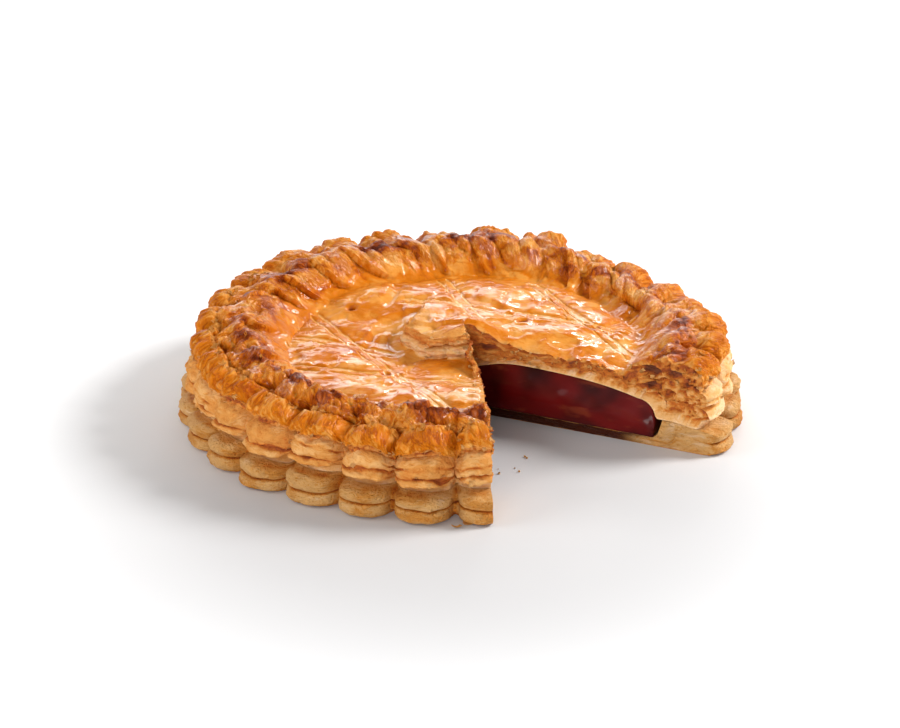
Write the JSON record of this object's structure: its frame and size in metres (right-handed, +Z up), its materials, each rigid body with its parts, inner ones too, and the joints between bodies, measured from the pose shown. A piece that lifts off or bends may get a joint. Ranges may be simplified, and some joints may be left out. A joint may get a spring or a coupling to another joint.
{
  "type": "galette des rois",
  "caption": "Round puff-pastry galette with a scalloped, layered edge and a cooked fruit filling, with one slice cut out so that the filling shows.",
  "frame": {"origin": "middle of the round outline, at the level of the flat underside", "axes": "+Z up; the notch of the missing slice opens between -Y and +X"},
  "size_m": [0.2573, 0.259, 0.0487],
  "materials": {
    "base": "baked puff pastry, dry and layered",
    "filling": "cooked plum and apple filling, moist and glossy",
    "lid": "egg-glazed baked puff pastry, glossy on top and dry at the side"
  },
  "bodies": {
    "root": {"base": "base", "filling": "filling", "lid": "lid"}
  },
  "joints": []
}
